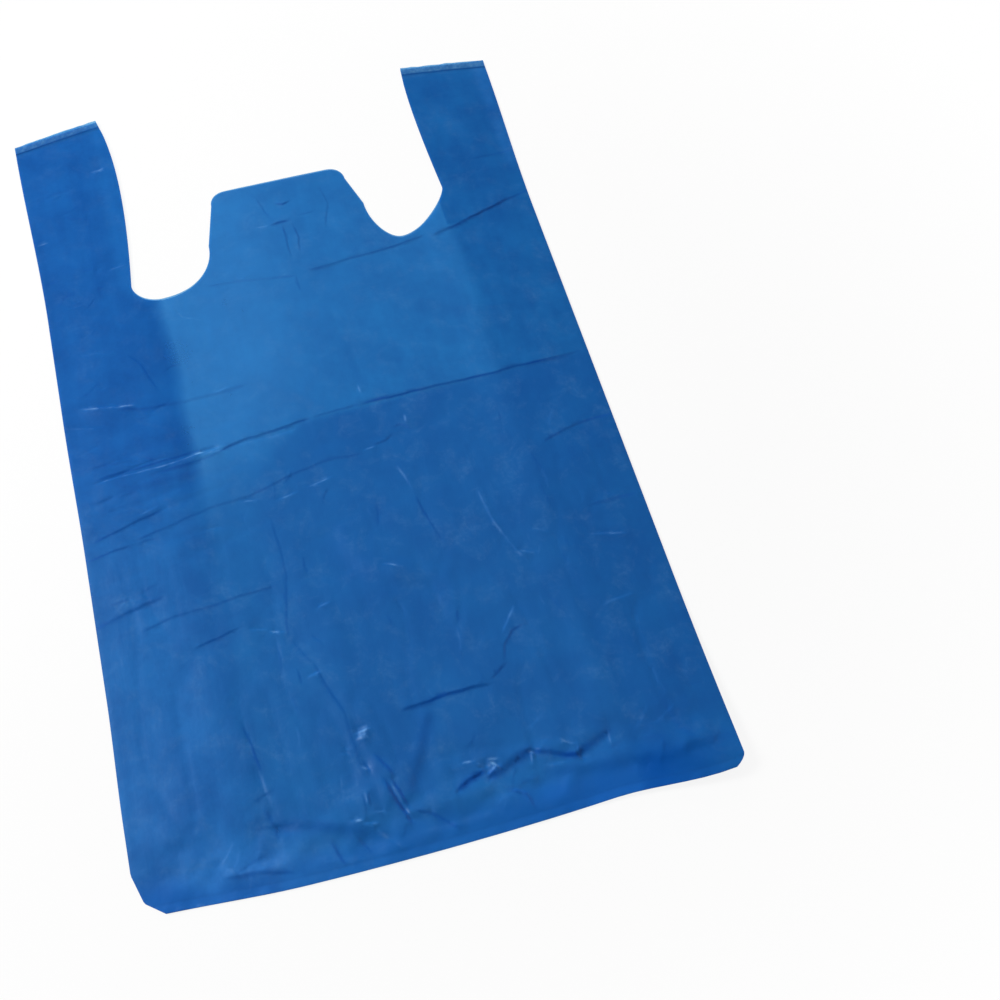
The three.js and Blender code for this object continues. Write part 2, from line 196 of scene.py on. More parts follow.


# Creases. The film steps up by rise from the right hand side of a line to its left, over width, and
# settles again within a reach on each side. With a rise above zero the line is dark, with painted shade
# along it, and with one below zero it is light, with a painted highlight. Each row has: rise, width,
# reach on the right, reach on the left, points.

# Where the bag was folded across for packing
PACKING_CREASES = [
    (0.30, 1.0, 8, 8, (-50, 315), (-30, 312.5), (-15, 310), (-1, 307.5)),
    (0.50, 1.0, 14, 12, (3, 310), (20, 311), (40, 312), (58, 314.5), (71, 316.5)),
    (0.80, 1.5, 14, 14, (72, 314.5), (85, 317.5), (100, 322.5), (115, 327), (138, 333)),
    (0.40, 1.0, 3, 9, (-121, 212), (-100, 213.5), (-85, 215), (-60, 217)),
    (-0.58, 1.0, 3, 3, (-120, 210.5), (-100, 211.2), (-88, 212), (-75, 213.4), (-59, 214.6)),
    (-2.00, 2.2, 3, 3, (-77, 213.4), (-67, 214.9), (-57, 215.2)),
    (-1.40, 2.0, 3, 3, (-71, 212.2), (-63, 213.2), (-56, 213.6)),
    (0.75, 1.0, 16, 9, (-62, 211.5), (-57, 214), (-45, 215.8), (-30, 217.5), (-12, 219.4)),
    (0.40, 0.9, 6, 4, (-92, 209.2), (-75, 209.8), (-66, 210.5), (-58, 213)),
    (-0.25, 0.9, 3, 3, (-53, 213.5), (-35, 214.5), (-18, 215)),
    (0.30, 0.9, 14, 10, (-14, 219.3), (0, 219.8), (16, 220.3)),
    (0.65, 1.0, 24, 12, (11, 220.2), (45, 220.8), (70, 221), (100, 221.2), (138, 222)),
    (0.35, 3.0, 6, 8, (-108, 222), (-85, 224.5), (-66, 224)),
    (0.45, 2.5, 6, 6, (-134, 220), (-117, 219.6), (-103, 218.7)),
    (0.55, 3.0, 8, 6, (-112, 203.6), (-98, 203), (-87, 203.6), (-68, 204)),
    (0.40, 2.5, 5, 5, (-138, 199), (-123, 200), (-100, 201.4)),
    (0.45, 1.0, 7, 5, (-127, 178), (-112, 182.5), (-102, 185.5), (-90, 188)),
    (-0.40, 1.0, 4, 4, (-106, 187), (-91, 190.5)),
    (0.28, 1.0, 14, 10, (-108, 174.5), (-80, 180.5), (-66, 183), (-50, 184), (-42, 186), (-30, 190),
     (-12, 193), (8, 192)),
    (0.45, 1.1, 6, 5, (-138, 168), (-118, 172), (-106, 173)),
    (-0.45, 1.0, 4, 4, (-56, 182.5), (-45, 180.3)),
    (-0.45, 1.0, 4, 4, (-40, 178), (-25, 180.5)),
    (-0.40, 1.0, 4, 4, (-24, 181), (-8, 184)),
    (0.40, 1.1, 8, 6, (92, 174), (105, 178.5), (115, 180.5), (138, 182.5)),
    (0.60, 2.2, 8, 8, (-138, 132), (-117, 138.5), (-97, 142.4)),
    (0.28, 1.2, 9, 8, (-112, 127), (-95, 131), (-80, 132), (-62, 133), (-45, 133.8)),
    (0.40, 1.0, 6, 5, (-90, 113), (-76, 115.5), (-65, 118)),
    (-0.65, 1.0, 3, 3, (-64, 115.8), (-54, 113)),
    (-0.65, 1.0, 3, 3, (-56, 113), (-46, 109.3)),
    (-1.75, 2.0, 5, 5, (-124, 255.8), (-112, 252.5), (-105, 251.2), (-94, 250)),
    (0.45, 1.8, 6, 7, (-105, 249.5), (-88, 246.2), (-70, 245.3), (-55, 246), (-38, 247.7)),
    (-0.35, 1.2, 4, 4, (-60, 246), (-46, 249)),
    (-0.40, 1.2, 4, 4, (-138, 248), (-112, 241)),
    (-0.30, 2.0, 6, 6, (-122, 288), (-98, 284)),
    (0.35, 1.1, 4, 4, (-82, 254), (-85, 262), (-89, 274), (-96, 282)),
    (-0.35, 1.1, 4, 4, (-70, 306.5), (-64, 298), (-53, 292)),
    (0.45, 1.2, 4, 4, (12, 195), (20, 196.3), (25, 200.5)),
    (-0.50, 1.0, 3, 3, (7, 193.8), (15, 194.5)),
    (0.35, 1.2, 4, 4, (23, 202), (28, 204.2), (31, 202.5), (35, 197.5)),
    (-0.45, 1.0, 3, 3, (31.5, 204), (32, 210)),
    (0.30, 3.0, 6, 6, (15, 230), (14, 245), (12, 267)),
    (-0.50, 1.0, 3, 3, (14.5, 226), (13, 233)),
    (-0.40, 1.2, 4, 4, (26, 165), (24, 172), (21, 183)),
    (0.30, 1.1, 4, 4, (-2, 296), (-3, 310)),
]
# Small bright marks and soft bends on the handles
HANDLE_CREASES = [
    (-1.20, 1.8, 3, 3, (-97.5, 408), (-88.5, 410.2)),
    (-0.65, 1.1, 3, 3, (-97.5, 338), (-86.5, 339.5)),
    (-0.80, 1.2, 3, 3, (-137, 364), (-122, 366)),
    (0.40, 1.2, 3, 3, (-137, 366.5), (-125, 369)),
    (-0.60, 1.2, 3, 3, (-135, 352), (-123, 353.5)),
    (-0.25, 1.4, 4, 4, (-122, 318), (-110, 320)),
    (0.22, 3.0, 12, 12, (-103, 318), (-103, 375), (-104, 432)),
    (0.25, 1.6, 8, 8, (-130, 392), (-120, 398), (-108, 399)),
    (0.30, 1.0, 6, 6, (106, 361), (120, 361.3), (137, 362.5)),
    (-0.30, 3.0, 10, 6, (124, 350), (127, 372), (128, 396)),
]
# A star of creases in the tab
TAB_CREASES = [
    (0.75, 1.2, 4, 4, (-10, 345.5), (-3, 345.8), (4, 345.5)),
    (0.60, 1.1, 3, 3, (-4, 360), (1, 358), (6, 360)),
    (0.45, 1.1, 4, 4, (-1, 320), (-2.5, 328), (-2.5, 345)),
    (0.45, 1.1, 4, 4, (3.5, 322), (4, 332), (3, 343)),
    (0.30, 1.1, 5, 5, (-7.5, 349), (-10, 357), (-13, 368)),
    (0.25, 1.1, 4, 4, (6, 347.3), (18, 349)),
    (-0.40, 1.1, 3, 3, (-18, 346), (-8, 346)),
    (0.25, 1.2, 5, 5, (20, 335), (24, 352), (22, 366)),
]
# Long wrinkles and small bright marks over the lower half
LOWER_WRINKLES = [
    (0.25, 1.2, 8, 8, (-46.5, 105), (-46, 116), (-41.5, 136), (-42, 146), (-42.5, 170)),
    (0.22, 1.6, 8, 8, (-37, 87), (-42, 98), (-47, 108)),
    (0.50, 1.6, 8, 8, (-30, 62), (-32.5, 72), (-39, 93)),
    (0.22, 1.4, 6, 6, (-28, 34), (-30, 52), (-30.5, 68)),
    (0.45, 1.0, 6, 6, (-70, 48), (-72, 60), (-75, 72)),
    (-0.15, 1.4, 5, 5, (-70, 36), (-70, 52)),
    (0.40, 1.1, 6, 6, (33, 134), (29, 148), (26, 164)),
    (-0.45, 1.4, 7, 5, (69, 113), (64, 122), (58, 140), (55, 160)),
    (-0.60, 1.0, 3, 3, (2, 132), (11, 127.5)),
    (1.00, 12, 14, 14, (-16, 159), (-14, 144), (-8, 133), (0, 125.5), (10, 120.5), (34, 112.5)),
    (0.85, 1.5, 8, 6, (-8, 59), (5, 60.3), (15, 61), (28, 61.3), (37, 60.5)),
    (0.45, 1.1, 4, 4, (35, 62), (46, 69)),
    (0.40, 1.2, 5, 5, (44, 68), (46, 77), (51, 83), (59, 85)),
    (-0.40, 1.4, 4, 4, (45, 81), (52, 90), (57, 96)),
    (1.30, 6.0, 7, 7, (-12, 20), (-4, 36), (3, 50), (7, 58)),
    (-2.40, 2.6, 3, 3, (-28.8, 54.2), (-21, 55.4)),
    (-1.60, 2.2, 3, 3, (-28.5, 52.2), (-22.3, 53)),
    (-0.90, 1.4, 3, 3, (-43, 85.3), (-35, 87.2)),
    (-0.80, 1.4, 3, 3, (-32, 117.8), (-24, 119.2)),
    (0.35, 1.0, 3, 3, (-45.3, 82), (-46.2, 92)),
    (-0.55, 1.0, 2, 2, (-36, 50.5), (-31, 47)),
    (-0.50, 1.0, 2, 2, (-37, 47.6), (-32, 45.3)),
    (-0.60, 1.0, 2, 2, (-30, 40.6), (-25, 36.2)),
    (0.35, 1.0, 3, 3, (-25.3, 35), (-28.3, 43.5)),
    (0.40, 1.0, 3, 3, (-29, 20.5), (-27.5, 28.5)),
    (-0.32, 1.0, 2, 2, (-30.3, 21), (-28.8, 28.5)),
    (-0.55, 1.0, 2, 2, (-28, 18.9), (-22, 17.5)),
    (-0.60, 1.1, 4, 4, (64, 122), (73, 117)),
    (-0.45, 1.1, 4, 4, (98, 120.5), (108, 118.5), (118, 115.5)),
    (-0.35, 1.2, 4, 4, (73, 132), (83, 125.5)),
    (0.30, 1.2, 5, 5, (103, 135.3), (130, 136)),
    (-0.30, 1.4, 5, 5, (93, 83), (112, 86.5)),
]
# Crushed film above the bottom weld, with a zigzag fold on the right and a soft one on the left
BOTTOM_CRUMPLE = [
    (1.60, 2.8, 3, 6, (6, 17), (15, 21.5), (25, 24)),
    (2.20, 4.6, 3, 6, (20, 19), (30, 22), (38, 25.5), (47, 27.5)),
    (1.60, 2.4, 5, 6, (42, 27), (52, 23), (58, 20), (67, 17.5)),
    (1.60, 3.2, 3, 6, (60, 18), (70, 21.5), (81, 26.5)),
    (-0.80, 1.4, 2.5, 2.5, (12, 29.9), (21, 28.3)),
    (-1.20, 1.5, 2.5, 2.5, (24, 27.6), (27, 25), (29, 22)),
    (-1.10, 1.4, 2, 2, (19, 26), (22.5, 23.5), (24.5, 20)),
    (-1.10, 1.4, 2, 2, (41.5, 27), (46.5, 24)),
    (-1.10, 1.4, 2, 2, (62, 20.5), (64.5, 15.8)),
    (-0.90, 1.3, 2, 2, (56, 27.6), (60, 24.8), (64.5, 22.3)),
    (-0.90, 1.6, 2.5, 2.5, (17, 28.9), (25, 24)),
    (-0.85, 1.4, 2, 2, (22, 20.5), (28, 24.5)),
    (-0.75, 1.6, 2.5, 2.5, (23, 28.7), (30, 26.5)),
    (-0.50, 1.1, 2.5, 2.5, (42.3, 19), (44.2, 28)),
    (-0.55, 1.1, 2.5, 2.5, (62.8, 16), (63.7, 24)),
    (-0.40, 1.1, 2.5, 2.5, (77.3, 17.5), (78.7, 28)),
    (-0.60, 1.6, 2.5, 2.5, (55, 28.4), (62, 24.5)),
    (-0.60, 1.4, 2.5, 2.5, (47, 18.5), (59, 17.5)),
    (-0.35, 5.0, 9, 12, (-5, 33), (20, 31), (45, 29), (80, 27), (105, 20)),
    (1.50, 5.0, 10, 12, (-73, 25.5), (-60, 21.5), (-47, 17), (-36, 12.5), (-23, 6)),
    (-1.00, 1.3, 3, 3, (-39, 17.8), (-32, 15.9)),
    (-1.20, 1.3, 3, 3, (-34, 15.3), (-27, 13.3)),
    (1.00, 5.0, 8, 10, (45, 16), (70, 11), (100, 8), (138, 10)),
    (1.10, 1.8, 5, 6, (-13.2, 7), (-16.8, 20), (-21, 33)),
    (0.70, 1.2, 3, 4, (-12.4, 15), (-14.6, 23), (-18, 32.5)),
    (-0.60, 1.1, 2.5, 2.5, (-13, 11), (-18.2, 30)),
    (0.80, 2.4, 5, 5, (-69, 15.8), (-69.3, 23.8), (-72, 35)),
    (-0.80, 2.4, 4, 5, (-30.1, 12.8), (-23.2, 4.4), (-17, -2)),
    (0.80, 1.6, 4, 6, (-12.8, 15.8), (-2.7, 10.2), (6.5, 1.2)),
    (0.70, 1.4, 4, 4, (27.9, 13.4), (34.5, 9), (38.2, 4)),
    (0.80, 1.6, 6, 6, (-15, 30), (-18, 36), (-23, 44.5)),
    (0.70, 1.6, 4, 4, (39.5, -1), (36, 9), (28, 14)),
    (0.70, 1.6, 4, 4, (-43.5, -2), (-48.5, 13)),
    (0.60, 1.6, 4, 4, (-31, 0), (-39, 14)),
    (0.70, 1.8, 5, 5, (-95, 8.3), (-80, 7), (-64, 2)),
    (-1.30, 3.2, 4, 4, (-81, 10.5), (-75, 9), (-67, 7.2)),
    (-0.90, 2.4, 3, 3, (-92, 12.8), (-86, 8)),
    (-0.90, 3.6, 4, 4, (-56, 6), (-46, 3.5), (-36, 1)),
    (-0.60, 2.4, 4, 4, (-118, 2.5), (-106, 0.5), (-92, -1)),
    (-0.60, 3.0, 5, 5, (-14, 5.2), (5, 4.5), (22, 5.2)),
    (0.50, 3.0, 6, 6, (114, 10), (108, 18), (105, 36)),
]

strewn = np.random.default_rng(11)
HEADING_SPREAD = 24


def handling_creases(count, left, right, bottom, top, heading):
    """Short faint creases from handling, strewn over a part of the bag, most of them one way."""
    rows = []
    for _ in range(count):
        middle = Vector((strewn.uniform(left, right), strewn.uniform(bottom, top)))
        turn = math.radians(strewn.normal(heading, HEADING_SPREAD))
        half = Vector((math.cos(turn), math.sin(turn))) * strewn.uniform(3, 9)
        bend = half.orthogonal() * strewn.uniform(-0.25, 0.25)
        rise = strewn.choice((-0.13, 0.20)) * strewn.uniform(0.6, 1.5)
        points = [tuple(middle - half), tuple(middle + bend), tuple(middle + half)]
        rows.append((rise, strewn.uniform(0.9, 1.3), 3, 3, *points))
    return rows


CREASES = PACKING_CREASES + HANDLE_CREASES + TAB_CREASES + LOWER_WRINKLES + BOTTOM_CRUMPLE
CREASES += handling_creases(count=38, left=-60, right=125, bottom=40, top=200, heading=100)
CREASES += handling_creases(count=20, left=-125, right=-70, bottom=140, top=290, heading=8)
CREASES += handling_creases(count=14, left=-110, right=125, bottom=6, top=40, heading=20)
CREASES += handling_creases(count=18, left=-128, right=-92, bottom=300, top=436, heading=15)
CREASES += handling_creases(count=16, left=-110, right=125, bottom=4, top=34, heading=60)
END_FADE = 6.0  # over which a crease fades in at its ends


def beside_line(x, y, points):
    """Signed distance from a line, positive on its left, and the run to the nearer of its ends."""
    nearest = np.full_like(x, np.inf)
    side = np.zeros_like(x)
    run = np.zeros_like(x)
    lengths = [math.dist(a, b) for a, b in zip(points, points[1:])]
    done = 0.0
    for (ax, ay), (bx, by), length in zip(points, points[1:], lengths):
        tx, ty = (bx - ax) / length, (by - ay) / length
        forward = (x - ax) * tx + (y - ay) * ty
        across = (y - ay) * tx - (x - ax) * ty
        over = np.maximum(0.0, np.maximum(-forward, forward - length))
        distance = np.hypot(over, across)
        closer = distance < nearest
        nearest = np.where(closer, distance, nearest)
        side = np.where(closer, np.where(across < 0, -distance, distance), side)
        run = np.where(closer, done + np.clip(forward, 0, length), run)
        done += length
    return side, np.minimum(run, done - run)


def noise_field(x, y, wide, tall, seed):
    """Smooth noise, from about -1 to 1, with waves of a width and a height."""
    return np.array([noise.noise(Vector((a / wide, b / tall, seed))) for a, b in zip(x, y)])


def facet_field(x, y, wide, tall, seed):
    """Flat facets that meet in sharp ridges and valleys, as in crumpled film, from -1 to 1."""
    u = x / wide + 0.5 * noise_field(x, y, 1.6 * wide, 1.6 * tall, seed + 0.4)
    v = y / tall + 0.5 * noise_field(x, y, 1.6 * wide, 1.6 * tall, seed + 9.4)
    field = []
    for a, b in zip(u, v):
        i, j = math.floor(a), math.floor(b)
        a, b, step = a - i, b - j, 1
        if (i + j) % 2:
            i, a, step = i + 1, 1 - a, -1
        near = noise.cell(Vector((i + 0.5, j + 0.5, seed)))
        far = noise.cell(Vector((i + step + 0.5, j + 1.5, seed)))
        beside = noise.cell(Vector((i + step + 0.5, j + 0.5, seed)))
        above = noise.cell(Vector((i + 0.5, j + 1.5, seed)))
        if a > b:
            field.append(near + a * (beside - near) + b * (far - beside))
        else:
            field.append(near + b * (above - near) + a * (far - above))
    return np.array(field)


GROOVE_WIDTH = 0.14  # in the noise's own range


def groove_field(x, y, along, across, turn, seed):
    """Fine winding grooves that run along a direction, from 0 to 1 at their beds."""
    u = x * math.cos(turn) + y * math.sin(turn)
    v = y * math.cos(turn) - x * math.sin(turn)
    return np.maximum(0.0, 1 - np.abs(noise_field(u, v, along, across, seed)) / GROOVE_WIDTH)


def crease_height(x, y):
    """Height that the creases add, and the strength of their painted shade and highlights at each point.
    """
    # Lines waver, dark ones vary in strength along their run, and light ones break up
    waver_x = 0.8 * noise_field(x, y, 16, 16, 31.5) + 0.35 * noise_field(x, y, 5, 5, 32.5)
    waver_y = 0.8 * noise_field(x, y, 16, 16, 33.5) + 0.35 * noise_field(x, y, 5, 5, 34.5)
    vary = 0.85 + 0.6 * noise_field(x, y, 11, 11, 35.5)
    broken = np.clip(0.7 + 1.3 * noise_field(x, y, 3.5, 3.5, 36.5), 0.1, 1.3)
    height = np.zeros_like(x)
    crease_shade = np.zeros_like(x)
    crease_highlight = np.zeros_like(x)
    for rise, width, right_reach, left_reach, *points in CREASES:
        side, from_end = beside_line(x + waver_x, y + waver_y, points)
        length = sum(math.dist(a, b) for a, b in zip(points, points[1:]))
        fade = ramp(from_end, 0, min(END_FADE, 0.4 * length))
        step = ramp(side, -width / 2, width / 2) - 0.5
        settle = np.where(side < 0, np.exp(side / right_reach), np.exp(-side / left_reach))
        height += rise * fade * step * settle
        line = abs(rise) / width * fade * np.exp(-((2 * side / width) ** 2))
        if rise > 0:
            crease_shade = np.maximum(crease_shade, line * vary)
        else:
            crease_highlight = np.maximum(crease_highlight, line * broken)
    return height, crease_shade, crease_highlight


# How the layers lie, in millimetres
BACK, LOWER, UPPER, FRONT = range(4)
LAYER_PITCH = 0.3  # between layers that lie on each other
TABLE_GAP = 0.1  # under the lowest layer
FRONT_AIR = 0.45  # under the front panel
PUFF = 1.7  # of air in the middle of the bag's bottom, and the height at which it ends
PUFF_REACH = 300
SIDE_PRESS = 20  # width at each side fold over which the front panel is pressed down
BOTTOM_ROLL = 22  # height over which the stack thins out towards the bottom
CORNER_LIFT = 5  # of the right bottom corner, and how far from it the film starts to rise
LIFT_REACH = 95
FOLD_SOFTNESS = 1.4  # width of the bend at a fold
GUSSET_RAMP = 18  # width over which the front panel comes down from a gusset
WELD_PINCH = 2.2  # width at a weld over which the layers come together
SKIRT_CRINKLE = 0.4


def bottom_edge(x):
    """How far the bottom edge lies above or below the line between its corners."""
    bow = -BOTTOM_BOW * (1 - (x / HALF_WIDTH) ** 2)
    return bow + LEFT_RISE * ramp(x, -60, -120) - RIGHT_DROOP * ramp(x, 72, 124)


def weld_offset(x, y):
    """Distance from the nearest weld along Y, positive on the side of its skirt."""
    bottom = bottom_edge(x) + BOTTOM_SKIRT - y
    left_line = LEFT_TOP - HANDLE_SKIRT + LEFT_SLANT / LEFT_TOP_WIDTH * (x - left_corner.x)
    right_line = RIGHT_TOP - HANDLE_SKIRT - RIGHT_SLANT / RIGHT_TOP_WIDTH * (x - right_corner.x)
    top = y - np.where(x < 0, left_line, right_line)
    return np.where(y < LEFT_FLOOR.y, bottom, top)


def lift(x, y):
    """How far the film rises towards its right bottom corner."""
    distance = np.hypot(x - HALF_WIDTH, y)
    return CORNER_LIFT * np.maximum(0.0, 1 - distance / LIFT_REACH) ** 2


def front_relief(x, y):
    """How far creases and crumples lift the front panel, and the creases' painted shade and highlights.
    """
    height, crease_shade, crease_highlight = crease_height(x, y)
    lower = ramp(y, 215, 85)
    crumpled = ramp(y, 48, 14)
    left_band = ramp(x, -40, -70) * ramp(y, 140, 180) * ramp(y, 250, 220)
    # Soft waves and flat facets, most of all in the lower half
    height += 0.40 * lower * noise_field(x, y, 14, 60, 3.1)
    height += 0.30 * (0.4 + lower) * noise_field(x, y, 45, 40, 7.7)
    height += (0.12 + 0.28 * lower) * facet_field(x, y, 24, 40, 1.5)
    height += 0.12 * (0.4 + lower) * facet_field(x, y, 9, 15, 2.5)
    # Crushed film above the bottom weld
    height += 1.00 * crumpled * facet_field(x, y, 20, 12, 5.5)
    height += 0.45 * crumpled * facet_field(x, y, 8, 6, 8.5)
    height += 0.20 * crumpled * facet_field(x, y, 4.5, 3.5, 9.5)
    # Fine grooves across the left side, up the bag, and all over it
    height -= 0.38 * left_band * groove_field(x, y, 60, 9, math.radians(12), 41.5)
    height -= (0.05 + 0.20 * lower) * groove_field(x, y, 55, 14, math.radians(96), 42.5)
    height -= 0.12 * groove_field(x, y, 40, 40, 0.5, 43.5)
    return height, crease_shade, crease_highlight


def stack_height(layer, x, y, relief):
    """Height of a layer of the flat stack, with the air that lies between the panels."""
    level = np.full_like(x, float(layer))
    if layer == FRONT:
        from_left = ramp(x, LEFT_FOLD, LEFT_FOLD + GUSSET_RAMP)
        from_right = ramp(x, RIGHT_FOLD, RIGHT_FOLD - GUSSET_RAMP)
        level -= (FRONT - LOWER) * np.minimum(from_left, from_right)
    loose = ramp(np.abs(x), HALF_WIDTH, HALF_WIDTH - SIDE_PRESS)
    inside = np.maximum(0.0, 1 - (x / HALF_WIDTH) ** 2) ** 1.5
    puff = PUFF * inside * ramp(y, PUFF_REACH, 0)
    height = level * LAYER_PITCH + puff * layer / FRONT
    if layer == FRONT:
        # It never dips into the layer below it
        under = np.where((x < LEFT_FOLD) | (x > RIGHT_FOLD), UPPER, BACK)
        resting = under * LAYER_PITCH + puff * under / FRONT + 0.5 * LAYER_PITCH
        height = np.maximum(height + loose * (FRONT_AIR + relief), resting)
    from_edge = np.clip((y - bottom_edge(x)) / BOTTOM_ROLL, 0, 1)
    return height * (1 - 0.85 * (1 - from_edge) ** 2)


def layer_height(layer, x, y, from_side, from_fold, relief):
    """Height of a layer of the bag, which meets its neighbours at the folds and the welds."""
    height = stack_height(layer, x, y, relief)
    side_mate = {BACK: LOWER, LOWER: BACK, UPPER: FRONT, FRONT: UPPER}[layer]
    side_pull = 0.5 * (1 - ramp(from_side, 0, FOLD_SOFTNESS))
    height += side_pull * (stack_height(side_mate, x, y, relief) - height)
    if layer in (LOWER, UPPER):
        fold_mate = LOWER + UPPER - layer
        fold_pull = 0.5 * (1 - ramp(from_fold, 0, FOLD_SOFTNESS))
        height += fold_pull * (stack_height(fold_mate, x, y, relief) - height)
    # Layers draw together at a weld, and the film's end past it is crinkled
    offset = weld_offset(x, y)
    pinch = 0.2 * np.exp(-((offset / WELD_PINCH) ** 2))
    height += pinch * ((1.2 + 0.2 * layer) * LAYER_PITCH - height)
    skirt = ramp(offset, 0, BOTTOM_SKIRT)
    height += skirt * SKIRT_CRINKLE * (1 + noise_field(x, y, 4, 9, layer * 5.5)) * (layer + 1) / 4
    return np.maximum(TABLE_GAP, TABLE_GAP + height) + lift(x, y)


# What the film shows at each point, for its material
WELD_HALF = 0.6  # half the width of a weld's line
FOLD_BLUR = 7  # over which a gusset's inner fold fades in behind the hazy front panel


def thin_film(x, y):
    """Where the film is thinner and clearer: at the tab, and down from it along the left gusset."""
    start = 135 + 0.85 * np.clip(x - LEFT_FOLD, 0, 120)
    return ramp(y, start, start + 95) * (1 - 0.65 * ramp(x, -35, 15))


def film_haze(x, y):
    """Where the film is denser and its blue darker: below the packing crease across the middle."""
    crease = np.interp(x, [-117, -62, -17, 128], [205, 212.5, 219, 222])
    reach = np.interp(x, [-131, -62, -17], [70, 40, 2])
    towards_right = 0.4 + 0.6 * ramp(x, -90, -10)
    return ramp(y, crease, crease - reach) * ramp(y, 4, 28) * towards_right


def painted_light_film(x, y):
    """Painted light from the left, at the film's bottom left and left side, and a paler right handle
    edge.
    """
    bottom = ramp(y, 26, 6) * ramp(x, -35, -80)
    side = ramp(x, -70, -95) * (0.18 + 0.14 * ramp(y, 260, 200) + 0.16 * ramp(y, 110, 50))
    handle_edge = 0.30 * ramp(x, 123, 129) * ramp(y, 340, 360)
    return np.maximum(np.maximum(bottom, side), handle_edge)


def clean_and_shaded_film(x, y):
    """Deepest blue along the bottom, most on the right: unworn film, with painted shade on its roll."""
    reach = np.interp(x, [-118, -100, -40, 60, 120], [20, 9, 20, 24, 30])
    share = np.interp(x, [-118, -100, -60, 20, 60, 95, 125], [0.65, 0.45, 0.5, 0.7, 1.0, 1.0, 0.3])
    return share * ramp(y - bottom_edge(x), reach, reach * 2 / 7)


def film_marks(layer, x, y, crease_shade, crease_highlight, from_fold):
    """How strongly the film shows each of its features at each point."""
    offset = weld_offset(x, y)
    at_top = ramp(y, LEFT_FLOOR.y, LEFT_FLOOR.y + 10)
    return {
        "weld": np.exp(-((offset / WELD_HALF) ** 2)) * (0.15 + 0.85 * at_top),
        "skirt": ramp(offset, 0, 1) * at_top,
        # painted shade along the dark creases and painted highlights along the light ones
        "fold": crease_shade * (layer == FRONT),
        "pale": crease_highlight**2 * (layer == FRONT),
        "thin": thin_film(x, y),
        "haze": film_haze(x, y),
        # painted light from the left, and unworn film with painted shade along the bottom
        "bright": painted_light_film(x, y),
        "clean_and_shaded": clean_and_shaded_film(x, y),
        "inner": 1 - ramp(from_fold, 0, FOLD_BLUR),
    }


# The tube, made of one sheet for each part of each layer
SHARP_WIDTH = 3  # creases narrower than this get a finer mesh
REFINE_REACH = 1.2


def refine_creases(bm, sheet_edges):
    """Cut the mesh finer along the sharp creases."""
    middles = [(e.verts[0].co + e.verts[1].co) / 2 for e in sheet_edges]
    x = np.array([m.x for m in middles])
    y = np.array([m.y for m in middles])
    near = np.zeros(len(middles), bool)
    for _, width, _, _, *points in CREASES:
        if width < SHARP_WIDTH:
            side, _ = beside_line(x, y, points)
            near |= np.abs(side) < REFINE_REACH
    chosen = [e for e, hit in zip(sheet_edges, near) if hit and not e.is_boundary]
    bmesh.ops.subdivide_edges(bm, edges=chosen, cuts=2, use_grid_fill=True)


def line_x(line, y):
    """Where an edge or a fold lies at each height."""
    return np.interp(y, [p.y for p in line], [p.x for p in line])


def film_sheet(layer, left_line, right_line, shares, side_folds, inner_line=None):
    """A sheet of film stretched between two edges, row by row, and laid at its layer's height."""
    sheet = bmesh.new()
    bmesh.ops.create_grid(sheet, x_segments=len(shares) - 1, y_segments=len(left_line) - 1, size=1)
    for vert in sheet.verts:
        column = round((vert.co.x + 1) / 2 * (len(shares) - 1))
        row = round((vert.co.y + 1) / 2 * (len(left_line) - 1))
        point = left_line[row].lerp(right_line[row], shares[column])
        bow = bottom_edge(point.x) * max(0, 1 - point.y / BOW_REACH)
        vert.co = (point.x, point.y + bow, 0)
    if layer == FRONT:
        refine_creases(sheet, list(sheet.edges))
    x = np.array([v.co.x for v in sheet.verts])
    y = np.array([v.co.y for v in sheet.verts])
    from_side = np.full_like(x, np.inf)
    if "left" in side_folds:
        from_side = np.minimum(from_side, x - line_x(left_line, y))
    if "right" in side_folds:
        from_side = np.minimum(from_side, line_x(right_line, y) - x)
    from_fold = np.full_like(x, np.inf)
    if inner_line is not None:
        from_fold = np.abs(x - line_x(inner_line, y))
    relief = crease_shade = crease_highlight = np.zeros_like(x)
    if layer in (FRONT, UPPER):
        relief, crease_shade, crease_highlight = front_relief(x, y)
    z = layer_height(layer, x, y, np.maximum(0, from_side), from_fold, relief)
    marks = film_marks(layer, x, y, crease_shade, crease_highlight, from_fold)
    attributes = {name: sheet.verts.layers.float.new(name) for name in marks}
    for i, vert in enumerate(sheet.verts):
        for name, attribute in attributes.items():
            vert[attribute] = marks[name][i]
        vert.co = (BAG_MIDDLE + x[i] * MM, BAG_BOTTOM + y[i] * MM, z[i] * MM)
    if layer in (BACK, UPPER):
        bmesh.ops.reverse_faces(sheet, faces=sheet.faces)
    laid = bpy.data.meshes.new("sheet")
    sheet.to_mesh(laid)
    sheet.free()
    film_tube.from_mesh(laid)
    bpy.data.meshes.remove(laid)


def even(start, end, spacing):
    """Evenly spaced columns, about a spacing apart."""
    return list(np.linspace(start, end, round(abs(end - start) / spacing) + 1))


def shares_of(columns):
    """Each column's place as a share of the way from the first to the last."""
    return [(c - columns[0]) / (columns[-1] - columns[0]) for c in columns]


FINE_STEP = 1.6  # between the columns of the front panel, and of the other layers
COARSE_STEP = 8
GUSSET_INSET = 5.5  # by which a gusset's cut edge lies back from the front panel's
FOLD_BEND = 60  # length below the cuts over which a gusset's fold comes to its place


def inset_edge(edge, floor):
    """The die-cut edge of a layer that has slipped back behind the one above it."""
    moved = []
    for p in edge:
        slip = GUSSET_INSET + 1.5 * math.sin(p.y / 19)
        moved.append(Vector((p.x - slip * float(ramp(p.y, floor.y, floor.y + CUT_ROUND)), p.y)))
    return moved


